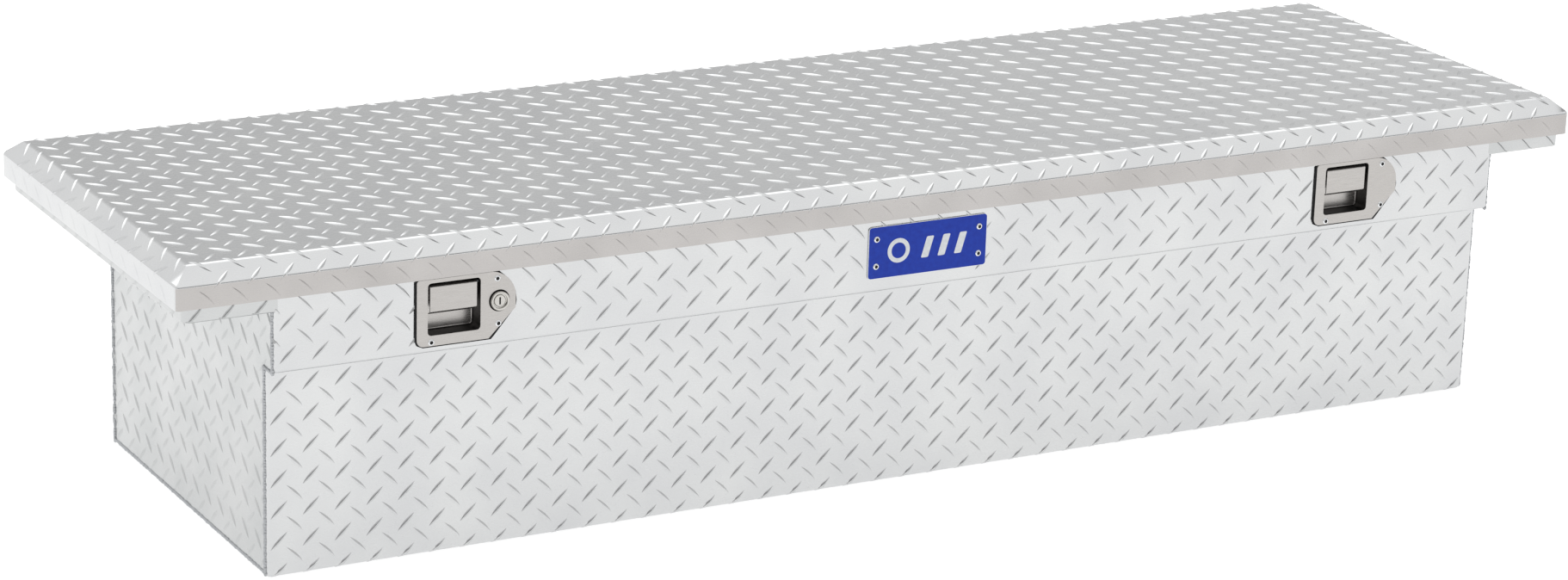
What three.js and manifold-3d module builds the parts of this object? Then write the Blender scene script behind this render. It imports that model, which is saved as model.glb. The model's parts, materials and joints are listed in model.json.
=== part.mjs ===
// A low-profile crossover tool box for a pickup truck: a bent tread-plate tub that hangs between the bed
// rails, saddle wings that rest on the rails, and a foam-filled lid on a full-length rear hinge.
// Millimetres. +X runs along the length, -Y is the front with the latches, +Z is up, and the origin is
// on the floor under the middle of the box.
import * as THREE from "three";
import { mergeVertices } from "three/addons/utils/BufferGeometryUtils.js";
import Module from "manifold-3d";

const wasm = await Module();
wasm.setup();

// ---- Driving dimensions -------------------------------------------------------------------------
const plate = 2; // tread-plate thickness
const steel = 1.2; // stainless sheet of the latches
const gap = 0.3; // left between pieces that touch
const bendRadius = 5; // outside radius of the bent corners

const lid = { halfLength: 876, halfDepth: 267, top: 356, bevelOut: 19, bevelDrop: 17, skirt: 25 };
const shoulder = lid.top - lid.bevelDrop; // where the bevel meets the skirt
const skirtBottom = shoulder - lid.skirt;
const lidCorner = 10; // plan radius of the skirt's corners
const panBottom = 336.3;
const panThickness = 1.5;

const tub = { halfLength: 769, front: -240, back: 220 };
const upper = { front: -262.5, back: 257, bottom: 232 }; // the aprons' outer faces and lower edge
const wing = { halfLength: 867, bottom: 298, corner: 7 };
const rim = { top: 328, flange: 18 };
const seal = { inset: 5, width: 12, height: 7.7 };

const hinge = { y: 261, z: 308, barrel: 3.7, pin: 1.9, bore: 2.25, leaf: 1.5, halfLength: 855 };
const knuckles = 20;
const knuckleGap = 0.6;

const latchCentres = { left: -569, right: 560 }; // middle of each cup, along the box
const latchHeight = 280.5;
const cup = { halfWidth: 30, halfHeight: 28.5, corner: 4, depth: 22 };
const face = { left: 42.5, up: 32.9, down: 40, corner: 8, topCorner: 3 };
const faceNose = [ // the rounded end of the face round the lock, [across, up from the latch height]
  [42, -40], [44.5, -37.5], [67.2, -10.8], [69.8, -6.5], [70.5, -1.5],
  [69.2, 8.2], [64.6, 16.3], [58.7, 24.5], [52, 30.3], [46, 32.9],
];
const paddle = { sideGap: 3.3, inset: 1.8, sheet: 1.6 };
const gasket = { thickness: 1.2, margin: 1.6 };
const shaft = { y: -256, z: 303, radius: 2.5, bore: 2.95 };
const hookPivot = { y: -226, z: 286, radius: 3, bore: 3.4 };
const hookPlane = { from: 35, to: 38.5 }; // across the latch, measured from the cup's middle
const striker = { y: -224, z: 309.5, radius: 3, halfSpan: 10 };
const lock = { u: 51.5, z: 281, flange: 11, body: 9.5, bore: 6.9, plug: 6.5, cam: 12.4 };
const camSlot = { front: -240, back: -232.5, top: 289 }; // in the bracket cheek beside the lock
const faceRivets = [[49, 305.5], [50.5, 256], [-26, 244.6]]; // [across, height]

const badge = { x: 1, z: 277.5, halfLength: 75, halfHeight: 29.8, thickness: 1.6, corner: 4 };
const badgeRivets = { x: 65, z: 15.5 };
const rivet = { head: 3.8, headHeight: 0.9, shank: 1.9, hole: 2.3, length: 6 };

const strut = { x: 748, foot: [170, 150], head: [160, 323], cylinder: 9, rod: 4, eye: 7.5 };

// ---- Finishes -----------------------------------------------------------------------------------
const finish = (color, roughness, metalness) => () =>
  new THREE.MeshStandardMaterial({ color, roughness, metalness });
const treadPlate = finish("#cfd1d2", 0.35, 1);
const sheetMetal = finish("#bfc1c2", 0.45, 1);
const stainless = finish("#b2b0ac", 0.3, 1);
const zincSteel = finish("#a9adb0", 0.4, 1);
const blackRubber = finish("#17181a", 0.85, 0);
const blackPaint = finish("#1c1d1f", 0.5, 0);
const foam = finish("#e6dcb8", 0.95, 0);
const blueEnamel = finish("#2c4ba4", 0.35, 0);
const brass = finish("#b8974f", 0.4, 1);

// ---- Solids: closed geometries in, closed geometries out ----------------------------------------
const box = new THREE.Group();

function solid(geometry) {
  const bare = geometry.clone();
  bare.deleteAttribute("normal");
  bare.deleteAttribute("uv");
  const merged = mergeVertices(bare, 1e-4);
  return new wasm.Manifold(
    new wasm.Mesh({
      numProp: 3,
      vertProperties: new Float32Array(merged.attributes.position.array),
      triVerts: new Uint32Array(merged.index.array),
    }),
  );
}

const join = (...parts) => parts.reduce((a, b) => a.add(b));
const cut = (from, ...tools) => tools.reduce((a, b) => a.subtract(b), from);

function add(name, body, material) {
  const { vertProperties, triVerts } = body.getMesh();
  const geometry = new THREE.BufferGeometry();
  geometry.setAttribute("position", new THREE.BufferAttribute(vertProperties, 3));
  geometry.setIndex(new THREE.BufferAttribute(triVerts, 1));
  geometry.computeVertexNormals();
  const mesh = new THREE.Mesh(geometry, material());
  mesh.name = name;
  box.add(mesh);
  return mesh;
}

function slab(x0, x1, y0, y1, z0, z1) {
  const geometry = new THREE.BoxGeometry(x1 - x0, y1 - y0, z1 - z0);
  return solid(geometry.translate((x0 + x1) / 2, (y0 + y1) / 2, (z0 + z1) / 2));
}

const outline = (points) => new THREE.Shape(points.map(([a, b]) => new THREE.Vector2(a, b)));

// Extrusions of a flat shape: upwards from z0 to z1, along X from x0 to x1 (shape in y, z), and
// through Y from y0 to y1 (shape in x, z).
function extrude(shape, depth) {
  return new THREE.ExtrudeGeometry(shape, { depth, bevelEnabled: false, curveSegments: 4 });
}
const raised = (shape, z0, z1) => solid(extrude(shape, z1 - z0).translate(0, 0, z0));

function along(shape, x0, x1) {
  const turn = new THREE.Matrix4().set(0, 0, 1, x0, 1, 0, 0, 0, 0, 1, 0, 0, 0, 0, 0, 1);
  return solid(extrude(shape, x1 - x0).applyMatrix4(turn));
}

function through(shape, y0, y1) {
  const turn = new THREE.Matrix4().set(1, 0, 0, 0, 0, 0, -1, y1, 0, 1, 0, 0, 0, 0, 0, 1);
  return solid(extrude(shape, y1 - y0).applyMatrix4(turn));
}

// A round bar along one axis, with its middle line through (a, b) on the other two.
function bar(axis, from, to, a, b, radius, sides = 12) {
  const geometry = new THREE.CylinderGeometry(radius, radius, to - from, sides);
  const middle = (from + to) / 2;
  if (axis === "x") geometry.rotateZ(Math.PI / 2).translate(middle, a, b);
  if (axis === "y") geometry.translate(a, middle, b);
  if (axis === "z") geometry.rotateX(Math.PI / 2).translate(a, b, middle);
  return solid(geometry);
}

// Rounded rectangle by its middle, half sizes and corner radius.
function roundedRectangle(cx, cy, halfX, halfY, radius, steps = 3) {
  const points = [];
  const corners = [[1, 1, 0], [-1, 1, 1], [-1, -1, 2], [1, -1, 3]];
  for (const [sx, sy, quarter] of corners) {
    for (let i = 0; i <= steps; i++) {
      const angle = (quarter + i / steps) * (Math.PI / 2);
      const x = cx + sx * (halfX - radius) + radius * Math.cos(angle);
      const y = cy + sy * (halfY - radius) + radius * Math.sin(angle);
      points.push([x, y]);
    }
  }
  return points;
}

// A closed skin through rings of points at rising heights, with flat ends.
function stack(rings) {
  const count = rings[0].points.length;
  const positions = rings.flatMap(({ points, z }) => points.flatMap(([x, y]) => [x, y, z]));
  const faces = [];
  for (let r = 0; r + 1 < rings.length; r++) {
    for (let i = 0; i < count; i++) {
      const j = (i + 1) % count;
      const [a, b, c, d] = [r * count + i, r * count + j, (r + 1) * count + j, (r + 1) * count + i];
      faces.push(a, b, c, a, c, d);
    }
  }
  const top = (rings.length - 1) * count;
  for (let i = 1; i + 1 < count; i++) faces.push(0, i + 1, i, top, top + i, top + i + 1);
  const geometry = new THREE.BufferGeometry();
  geometry.setAttribute("position", new THREE.Float32BufferAttribute(positions, 3));
  return solid(geometry.setIndex(faces));
}

// The section of a sheet bent along a polyline: the line is the sheet's outside, the metal lies to the
// left of it, and every bend is an arc.
function bentSheet(points, thickness, radius = bendRadius) {
  const line = points.map(([a, b]) => new THREE.Vector2(a, b));
  const outer = [];
  const inner = [];
  const put = (point, normal) => {
    outer.push(point);
    inner.push(point.clone().addScaledVector(normal, thickness));
  };
  const leftOf = (a, b) => new THREE.Vector2(a.y - b.y, b.x - a.x).normalize();
  line.forEach((point, i) => {
    if (i === 0) return put(point, leftOf(line[0], line[1]));
    if (i === line.length - 1) return put(point, leftOf(line[i - 1], point));
    const [before, after] = [leftOf(line[i - 1], point), leftOf(point, line[i + 1])];
    const side = Math.sign(before.cross(after)); // +1 turns towards the metal
    const outside = side > 0 ? radius : radius - thickness;
    const centre = point.clone();
    centre.addScaledVector(before, side * outside).addScaledVector(after, side * outside);
    const steps = 3;
    for (let s = 0; s <= steps; s++) {
      const normal = before.clone().multiplyScalar(Math.cos((s / steps) * (Math.PI / 2)));
      normal.addScaledVector(after, Math.sin((s / steps) * (Math.PI / 2)));
      put(centre.clone().addScaledVector(normal, -side * outside), normal);
    }
  });
  return new THREE.Shape([...outer, ...inner.reverse()]);
}

// ---- Tub: one U of tread plate, closed by two end plates ----------------------------------------
const insideEnd = tub.halfLength - plate - gap;

function makeTub() {
  const top = upper.bottom - gap;
  const path = [[tub.front, top], [tub.front, 0], [tub.back, 0], [tub.back, top]];
  add("tub_wrap", along(bentSheet(path, plate), -insideEnd, insideEnd), treadPlate);
}

function makeEndPlate(side, sign) {
  const low = upper.bottom;
  const top = wing.bottom + plate - gap;
  const chamfer = bendRadius * 0.6;
  const points = [
    [tub.front + chamfer, 0], [tub.back - chamfer, 0], [tub.back, chamfer], [tub.back, low],
    [upper.back, low], [upper.back, top], [upper.front, top], [upper.front, low],
    [tub.front, low], [tub.front, chamfer],
  ];
  const [x0, x1] = [tub.halfLength - plate, tub.halfLength].map((x) => x * sign).sort((a, b) => a - b);
  add(`${side}_end_plate`, along(outline(points), x0, x1), treadPlate);
}

// ---- Aprons: the stepped-out upper front and rear, each with a ledge and a rim flange -----------
function makeAprons() {
  const lip = 4; // how far the ledge reaches past the tub wall
  const frontPath = [
    [upper.front + rim.flange, rim.top], [upper.front, rim.top],
    [upper.front, upper.bottom], [tub.front + lip, upper.bottom],
  ];
  let front = along(bentSheet(frontPath, plate), -insideEnd, insideEnd);
  for (const centre of Object.values(latchCentres)) front = cut(front, ...latchHoles(centre));
  const [y0, y1] = [upper.front - 1, upper.front + plate + 1];
  for (const [x, z] of badgeRivetPlaces()) front = cut(front, bar("y", y0, y1, x, z, rivet.hole, 8));
  add("front_apron", front, treadPlate);

  const rearPath = [
    [tub.back - lip, upper.bottom], [upper.back, upper.bottom],
    [upper.back, rim.top], [upper.back - rim.flange, rim.top],
  ];
  add("rear_apron", along(bentSheet(rearPath, plate), -insideEnd, insideEnd), treadPlate);
}

// ---- Saddle wings: shallow trays over the bed rails ---------------------------------------------
function makeWing(side, sign) {
  const inner = tub.halfLength - plate;
  const reach = 3 * wing.corner; // the rounded block starts inside the box and is trimmed
  const halfX = (wing.halfLength - inner + reach) / 2;
  const halfY = (upper.back - upper.front) / 2;
  const cx = inner - reach + halfX;
  const cy = (upper.back + upper.front) / 2;
  const block = (inset, z0, z1) => {
    const corner = Math.max(wing.corner - inset, 1);
    const points = roundedRectangle(cx, cy, halfX - inset, halfY - inset, corner);
    return raised(outline(points), z0, z1);
  };
  const shell = cut(
    block(0, wing.bottom, rim.top),
    block(plate, wing.bottom + plate, rim.top - plate),
    block(rim.flange, wing.bottom + plate, rim.top + 1),
    slab(inner - reach - 1, inner, upper.front - 1, upper.back + 1, 0, rim.top + 1),
    slab(inner - 1, inner + 1, upper.front + plate, upper.back - plate, wing.bottom + plate, rim.top - plate),
    slab(inner - 1, wing.halfLength - rim.flange, upper.front + rim.flange, upper.back - rim.flange,
      wing.bottom + plate, rim.top + 1),
    slab(inner - 1, tub.halfLength + gap, upper.front - 1, upper.back + 1, 0, wing.bottom + plate),
  );
  add(`${side}_saddle_wing`, sign > 0 ? shell : shell.mirror([1, 0, 0]), treadPlate);
}

// A bulb seal that follows the rim.
function makeSeal() {
  const z0 = rim.top + gap;
  const halfY = (upper.back - upper.front) / 2;
  const cy = (upper.back + upper.front) / 2;
  const ring = (inset, corner) => roundedRectangle(0, cy, wing.halfLength - inset, halfY - inset, corner, 2);
  const shoulderHeight = z0 + seal.height * 0.6;
  const outside = stack([
    { z: z0, points: ring(seal.inset, 8) },
    { z: shoulderHeight, points: ring(seal.inset, 8) },
    { z: z0 + seal.height, points: ring(seal.inset + 3, 6) },
  ]);
  const inset = seal.inset + seal.width;
  const inside = stack([
    { z: z0 - 1, points: ring(inset, 3) },
    { z: shoulderHeight, points: ring(inset, 3) },
    { z: z0 + seal.height + 1, points: ring(inset - 4, 3) },
  ]);
  add("rim_seal", cut(outside, inside), blackRubber);
}

// ---- Lid ----------------------------------------------------------------------------------------
function lidRing(inset, z, corner) {
  return { z, points: roundedRectangle(0, 0, lid.halfLength - inset, lid.halfDepth - inset, corner) };
}

function makeLid() {
  const slope = lid.bevelOut / lid.bevelDrop;
  const across = Math.hypot(1, slope); // bevel thickness measured level
  // The bevel's inside, a given distance under its outside, at a height.
  const bevelInset = (z, depth) => (z - shoulder) * slope + depth * across;
  const outside = stack([
    lidRing(0, skirtBottom, lidCorner),
    lidRing(0, shoulder, lidCorner),
    lidRing(lid.bevelOut, lid.top, 3),
  ]);
  const innerShoulder = shoulder + (plate - plate * across) / slope;
  const innerTop = lid.top - plate;
  const inside = stack([
    lidRing(plate, skirtBottom - 1, lidCorner - plate),
    lidRing(plate, innerShoulder, lidCorner - plate),
    lidRing(bevelInset(innerTop, plate), innerTop, 2),
  ]);
  add("lid_skin", cut(outside, inside), treadPlate);

  const panInset = plate + gap;
  const panTop = panBottom + panThickness;
  const panRing = (z) => lidRing(panInset, z, lidCorner - plate);
  const pan = stack([panRing(panBottom), panRing(panTop)]);
  add("lid_pan", pan, sheetMetal);

  const coreTop = innerTop - gap;
  const core = stack([
    lidRing(bevelInset(panTop + gap, plate + 2 * gap), panTop + gap, lidCorner - plate),
    lidRing(bevelInset(coreTop, plate + 2 * gap), coreTop, 2),
  ]);
  add("lid_foam_core", core, foam);

  const channel = { halfLength: 640, y0: -232, y1: -212, slope: 5, flange: 7, drop: 6 };
  const high = panBottom - gap;
  const low = high - channel.drop;
  const edge = channel.slope + channel.flange;
  const hat = outline([
    [channel.y0, low], [channel.y1, low], [channel.y1 + channel.slope, high - plate / 2],
    [channel.y1 + edge, high - plate / 2], [channel.y1 + edge, high],
    [channel.y0 - edge, high], [channel.y0 - edge, high - plate / 2],
    [channel.y0 - channel.slope, high - plate / 2],
  ]);
  add("lid_channel", along(hat, -channel.halfLength, channel.halfLength), sheetMetal);
  return low;
}

// ---- Full-length hinge: two leaves with interleaved knuckles on one pin -------------------------
function makeHinge() {
  const pitch = (2 * hinge.halfLength) / knuckles;
  const bore = bar("x", -hinge.halfLength - 1, hinge.halfLength + 1, hinge.y, hinge.z, hinge.bore);
  const leaf = (first, y0, z0, z1) => {
    let body = slab(-hinge.halfLength, hinge.halfLength, y0, y0 + hinge.leaf, z0, z1);
    for (let k = 0; k < knuckles; k++) {
      const from = -hinge.halfLength + k * pitch;
      const [x0, x1] = [from + knuckleGap / 2, from + pitch - knuckleGap / 2];
      if (k % 2 === first) body = join(body, bar("x", x0, x1, hinge.y, hinge.z, hinge.barrel));
      else body = cut(body, relief(x0 - knuckleGap, x1 + knuckleGap));
    }
    return cut(body, bore);
  };
  const clear = hinge.barrel + knuckleGap;
  const relief = (x0, x1) => slab(x0, x1, hinge.y - clear, hinge.y + clear, hinge.z - clear, hinge.z + clear);
  const low = hinge.y - hinge.barrel;
  const high = hinge.y + hinge.barrel - hinge.leaf;
  add("hinge_body_leaf", leaf(0, low, hinge.z - 20, hinge.z), stainless);
  add("hinge_lid_leaf", leaf(1, high, hinge.z, panBottom - 2 * gap), stainless);
  const end = hinge.halfLength + 1;
  add("hinge_pin", bar("x", -end, end, hinge.y, hinge.z, hinge.pin), zincSteel);
}

// ---- Latches ------------------------------------------------------------------------------------
const faceFront = upper.front - gap - gasket.thickness - gap - steel; // outside of the stainless face
const faceBack = faceFront + steel;
const mid = latchHeight;

// The face's outline, grown by a margin: square at the cup end, rounded at the lock end.
function facePoints(centre, margin) {
  const { left, up, down, corner, topCorner } = face;
  const points = [
    [-left + corner, -down], ...faceNose, [-left + topCorner, up], [-left, up - topCorner],
    [-left, -down + corner], [-left + corner * 0.3, -down + corner * 0.3],
  ];
  return grow(points, margin).map(([u, z]) => [centre + u, mid + z]);
}

// Moves every side of a counter-clockwise outline outwards by a margin.
function grow(points, margin) {
  const count = points.length;
  const outOf = ([ax, ay], [bx, by]) => new THREE.Vector2(by - ay, ax - bx).normalize();
  return points.map((point, i) => {
    const before = outOf(points[(i + count - 1) % count], point);
    const after = outOf(point, points[(i + 1) % count]);
    const mitre = before.clone().add(after).normalize();
    const reach = margin / mitre.dot(after);
    return [point[0] + mitre.x * reach, point[1] + mitre.y * reach];
  });
}

function latchHoles(centre) {
  const [y0, y1] = [upper.front - 1, upper.front + plate + 1];
  const clearance = steel + 0.5;
  const window = roundedRectangle(centre, mid, cup.halfWidth + clearance, cup.halfHeight + clearance, 5);
  return [
    through(outline(window), y0, y1),
    bar("y", y0, y1, centre + lock.u, lock.z, lock.body + 0.6, 16),
    ...faceRivets.map(([u, z]) => bar("y", y0, y1, centre + u, z, rivet.hole, 8)),
  ];
}

function makeRivet(name, x, z, seat) {
  const head = bar("y", seat - rivet.headHeight, seat - 0.1, x, z, rivet.head, 12);
  const shank = bar("y", seat - rivet.headHeight, seat + rivet.length, x, z, rivet.shank, 8);
  add(name, join(head, shank), zincSteel);
}

function makeLatchFace(side, centre, hasLock) {
  const [y0, y1] = [faceFront - 1, faceBack + 1];
  const inner = roundedRectangle(centre, mid, cup.halfWidth, cup.halfHeight, cup.corner);
  const outer = roundedRectangle(centre, mid, cup.halfWidth + steel, cup.halfHeight + steel, cup.corner + 1);
  const floorBack = faceFront + cup.depth;
  const lockHole = bar("y", y0 - 2, y1 + 9, centre + lock.u, lock.z, lock.body + 0.4, 16);
  const rivetHoles = faceRivets.map(([u, z]) => bar("y", y0, y1 + 5, centre + u, z, rivet.hole, 8));
  const sheet = join(
    through(outline(facePoints(centre, 0)), faceFront, faceBack),
    through(outline(outer), faceFront, floorBack),
  );
  const shaftHole = bar("x", centre - 40, centre + 40, shaft.y, shaft.z, shaft.bore);
  const dish = cut(sheet, through(outline(inner), y0, floorBack - steel), shaftHole, ...rivetHoles);
  add(`${side}_latch_face`, hasLock ? cut(dish, lockHole) : dish, stainless);

  const [g0, g1] = [faceBack + gap, faceBack + gap + gasket.thickness];
  const window = roundedRectangle(centre, mid, cup.halfWidth + steel + gap, cup.halfHeight + steel + gap, 5);
  const pad = cut(
    through(outline(facePoints(centre, gasket.margin).map(([x, z]) => [x, Math.min(z, skirtBottom - 0.6)])),
      g0, g1),
    through(outline(window), g0 - 1, g1 + 1), lockHole, ...rivetHoles,
  );
  add(`${side}_latch_gasket`, pad, blackRubber);
  faceRivets.forEach(([u, z], i) => makeRivet(`${side}_latch_rivet_${i + 1}`, centre + u, z, faceFront));
}

// The paddle hangs from its shaft in the top of the cup; a crank on the shaft's end drives the hook.
function makePaddle(side, centre) {
  const half = cup.halfWidth - paddle.sideGap;
  const front = faceFront + paddle.inset;
  const section = [
    [front, shaft.z + 1.2], [front, 279], [front + 1, 276], [front + 7, 272.5], [front + 8, 274],
    [front + 3, 277.5], [front + paddle.sheet, 280], [front + paddle.sheet, 300], [shaft.y + 4.5, 299.5],
    [shaft.y + 4.5, shaft.z + 3.5], [shaft.y - 3, shaft.z + 3.5],
  ];
  const bore = bar("x", centre - 40, centre + 40, shaft.y, shaft.z, shaft.radius + 0.15);
  add(`${side}_paddle`, cut(along(outline(section), centre - half, centre + half), bore), stainless);
  const end = hookPlane.to + 3;
  add(`${side}_paddle_shaft`, bar("x", centre - 39, centre + end, shaft.y, shaft.z, shaft.radius), zincSteel);
  const arm = [
    [shaft.y - 1.7, shaft.z + 3.9], [shaft.y - 3.9, shaft.z + 1.7], [shaft.y - 3.9, shaft.z - 1.7],
    [shaft.y - 1.7, shaft.z - 3.9], [shaft.y + 1, shaft.z - 5],
    [-245, 291.5], [-241.5, 290], [-240.5, 292.5], [shaft.y + 5, shaft.z + 4],
  ];
  const crankBore = bar("x", centre, centre + 60, shaft.y, shaft.z, shaft.radius + 0.15);
  const crank = cut(along(outline(arm), centre + hookPlane.from, centre + hookPlane.to), crankBore);
  add(`${side}_paddle_crank`, crank, zincSteel);
}

function makeHook(side, centre) {
  const [y, z] = [hookPivot.y, hookPivot.z];
  const claw = [
    [y - 22, z - 1], [y - 22, z + 2.8], [y - 8, z + 4], [y - 9, z + 26], [y - 7, z + 32],
    [y - 2.5, z + 32], [y - 1.6, z + 28.5], [y - 3, z + 26], [y - 2.5, z + 8], [y + 7, z + 5],
    [y + 7, z - 6], [y - 6, z - 7],
  ];
  const from = centre + hookPlane.from;
  const to = centre + hookPlane.to;
  const bore = bar("x", from - 5, to + 5, y, z, hookPivot.bore);
  const clawShape = outline(claw.reverse());
  add(`${side}_hook`, cut(along(clawShape, from, to), bore), zincSteel);

  // Bracket: two cheeks on a web behind the apron.
  const [inner, outer] = [from - 1, to + 1];
  const wall = 1.5;
  const back = upper.front + plate + gap;
  const cheek = outline([[back, 262], [-217, 276], [-217, 296], [-228, 300], [back, 309]]);
  const bracket = cut(
    join(
      along(cheek, inner - wall, inner),
      along(cheek, outer, outer + wall),
      slab(inner - wall, outer + wall, back, back + wall, 262, 290),
    ),
    bar("x", from - 9, to + 9, shaft.y, shaft.z, shaft.bore),
    bar("x", from - 9, to + 9, y, z, hookPivot.bore),
    slab(outer - gap, outer + wall + gap, camSlot.front, camSlot.back, 0, camSlot.top),
  );
  add(`${side}_latch_bracket`, bracket, zincSteel);
  add(`${side}_hook_pin`, bar("x", inner - wall, outer + wall, y, z, hookPivot.radius), zincSteel);
}

function makeStriker(side, centre, channelBottom) {
  const middle = centre + (hookPlane.from + hookPlane.to) / 2;
  const top = channelBottom - gap;
  const { y, z, radius, halfSpan } = striker;
  const leg = (x) => bar("z", z, top - 1, x, y, radius, 10);
  const loop = join(
    bar("x", middle - halfSpan - radius, middle + halfSpan + radius, y, z, radius, 10),
    leg(middle - halfSpan), leg(middle + halfSpan),
    slab(middle - 22, middle + 22, y - 11, y + 11, top - 2, top),
  );
  add(`${side}_striker`, loop, zincSteel);
}

function makeSpring(side, centre) {
  const turns = 4;
  const radius = 3.7;
  const length = 6;
  const start = centre - cup.halfWidth - steel - 0.8 - length;
  class Coil extends THREE.Curve {
    getPoint(t, target = new THREE.Vector3()) {
      const angle = t * turns * 2 * Math.PI;
      const across = radius * Math.cos(angle);
      const up = radius * Math.sin(angle);
      return target.set(start + t * length, shaft.y + across, shaft.z + up);
    }
  }
  const wire = outline([[0.5, 0], [0, 0.5], [-0.5, 0], [0, -0.5]]);
  const coil = new THREE.ExtrudeGeometry(wire, { steps: turns * 14, extrudePath: new Coil() });
  add(`${side}_paddle_spring`, solid(coil), zincSteel);
}

function makeLock(centre) {
  const x = centre + lock.u;
  const flangeFront = faceFront - 1;
  const back = faceFront + 27;
  const housing = cut(
    join(
      bar("y", flangeFront, faceFront - gap, x, lock.z, lock.flange, 20),
      bar("y", flangeFront, back, x, lock.z, lock.body, 20),
    ),
    bar("y", flangeFront - 1, back + 1, x, lock.z, lock.bore, 20),
  );
  add("lock_housing", housing, stainless);
  const keyway = slab(x - 1, x + 1, flangeFront - 1, flangeFront + 5, lock.z - 4, lock.z + 4);
  const plug = cut(bar("y", flangeFront + 0.2, back + 1, x, lock.z, lock.plug, 20), keyway);
  add("lock_plug", plug, brass);
  const arm = outline([
    [x - 3.2, lock.z - lock.cam], [x + 3.2, lock.z - lock.cam], [x + 7, lock.z - 3],
    [x + 6, lock.z + 6], [x - 6, lock.z + 6], [x - 7, lock.z - 3],
  ]);
  add("lock_cam", through(arm, back + 1 + gap, back + 3.5), zincSteel);
}

// ---- Badge --------------------------------------------------------------------------------------
function badgeRivetPlaces() {
  const corners = [[-1, -1], [-1, 1], [1, -1], [1, 1]];
  return corners.map(([a, b]) => [badge.x + a * badgeRivets.x, badge.z + b * badgeRivets.z]);
}

function makeBadge() {
  const back = upper.front - gap;
  const front = back - badge.thickness;
  const points = roundedRectangle(badge.x, badge.z, badge.halfLength, badge.halfHeight, badge.corner);
  const holes = badgeRivetPlaces().map(([x, z]) => bar("y", front - 1, back + 1, x, z, rivet.hole, 8));
  add("badge", cut(through(outline(points), front, back), ...holes), blueEnamel);
  badgeRivetPlaces().forEach(([x, z], i) => makeRivet(`badge_rivet_${i + 1}`, x, z, front));
}

// ---- Gas struts: cylinder on the end plate, rod on the lid --------------------------------------
function makeStrut(side, sign) {
  const [y0, z0] = strut.foot;
  const [y1, z1] = strut.head;
  const length = Math.hypot(y1 - y0, z1 - z0);
  const lean = Math.atan2(z1 - z0, y1 - y0);
  // Pieces are made along +Y from the foot, then leaned up and moved into place.
  const place = (body) => body.rotate([(lean * 180) / Math.PI, 0, 0]).translate([0, y0, z0]);
  const x = sign * strut.x;
  const eyeHalf = 5;
  const lathe = (from, to, radius, sides = 16) => bar("y", from, to, x, 0, radius, sides);
  const eye = (at) => bar("x", x - eyeHalf, x + eyeHalf, at, 0, strut.eye, 16);
  const studBore = (at) => bar("x", x - 20, x + 20, at, 0, 4.4);
  const cylinderEnd = length - 24;
  const cylinder = cut(
    join(eye(0), lathe(5, 16, 4), lathe(14, cylinderEnd, strut.cylinder)),
    studBore(0),
    lathe(22, cylinderEnd - 6, strut.cylinder - 1.5),
    lathe(20, cylinderEnd + 1, strut.rod + 0.4),
  );
  add(`${side}_strut_cylinder`, place(cylinder), blackPaint);
  const lidSide = sign > 0 ? [x, x + 9.5] : [x - 9.5, x];
  const rod = join(eye(length), lathe(26, length - 4, strut.rod), bar("x", ...lidSide, length, 0, 4));
  add(`${side}_strut_rod`, place(rod), zincSteel);

  const wall = sign * (insideEnd - plate / 2);
  const [p0, p1] = [wall - 1, wall + 1];
  const foot = outline([[y0 - 16, z0 - 22], [y0 + 16, z0 - 22], [y0 + 16, z0 + 10], [y0 + 8, z0 + 18],
    [y0 - 8, z0 + 18], [y0 - 16, z0 + 10]]);
  const stud = [p0 + 1, x - sign * 7].sort((a, b) => a - b);
  add(`${side}_strut_foot`, join(along(foot, p0, p1), bar("x", ...stud, y0, z0, 4)), zincSteel);

  const lug = sign * (strut.x + 11);
  const ear = outline([[y1 - 14, panBottom - gap - 1], [y1 - 12, z1 - 8], [y1, z1 - 12], [y1 + 12, z1 - 8],
    [y1 + 14, panBottom - gap - 1]]);
  const flange = [lug - sign, lug + sign * 26].sort((a, b) => a - b);
  const headBracket = join(
    along(ear, lug - 1, lug + 1),
    slab(...flange, y1 - 20, y1 + 20, panBottom - gap - plate, panBottom - gap),
  );
  add(`${side}_strut_head`, headBracket, zincSteel);
}

// ---- Assembly -----------------------------------------------------------------------------------
makeTub();
makeAprons();
makeSeal();
const channelBottom = makeLid();
makeHinge();
makeBadge();
for (const [side, sign] of [["left", -1], ["right", 1]]) {
  makeEndPlate(side, sign);
  makeWing(side, sign);
  makeStrut(side, sign);
  makeLatchFace(side, latchCentres[side], side === "left");
  makePaddle(side, latchCentres[side]);
  makeHook(side, latchCentres[side]);
  makeStriker(side, latchCentres[side], channelBottom);
  makeSpring(side, latchCentres[side]);
}
makeLock(latchCentres.left);

export default box;
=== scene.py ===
# %% [markdown]
# A crossover tool box for a pickup, dressed around its working model. The imported model gives every
# piece its place, its size and the body that it moves with, so this first cell only loads it, with a
# helper that gives any piece's size.

# %% Load the working model
import json
import math

import bmesh
import bpy
import numpy as np
from mathutils import Matrix, Vector


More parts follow.
